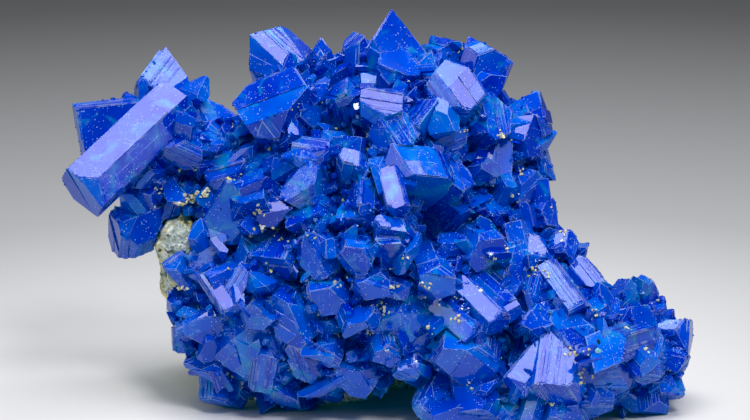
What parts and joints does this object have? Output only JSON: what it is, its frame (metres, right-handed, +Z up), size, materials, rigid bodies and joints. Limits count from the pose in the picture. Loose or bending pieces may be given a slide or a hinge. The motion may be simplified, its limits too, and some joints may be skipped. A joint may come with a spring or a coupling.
{
  "type": "chalcanthite crystal specimen",
  "caption": "Blue chalcanthite specimen: a ridge of intergrown, flat-faced prismatic crystals on a broken piece of pale host rock, standing on its flat cut base.",
  "frame": {"origin": "on the surface that the specimen stands on, under the middle of its box", "axes": "+Z up, +X along the ridge of crystals towards its low end, -Y towards the front that the picture shows"},
  "size_m": [0.1, 0.052, 0.0621],
  "materials": {
    "chalcanthite": "vitreous, translucent blue crystal faces",
    "altered_rock": "rough, grainy, pale greenish altered rock with yellow crusts"
  },
  "bodies": {
    "root": {"chalcanthite_crystals": "chalcanthite", "host_rock": "altered_rock"}
  },
  "joints": []
}
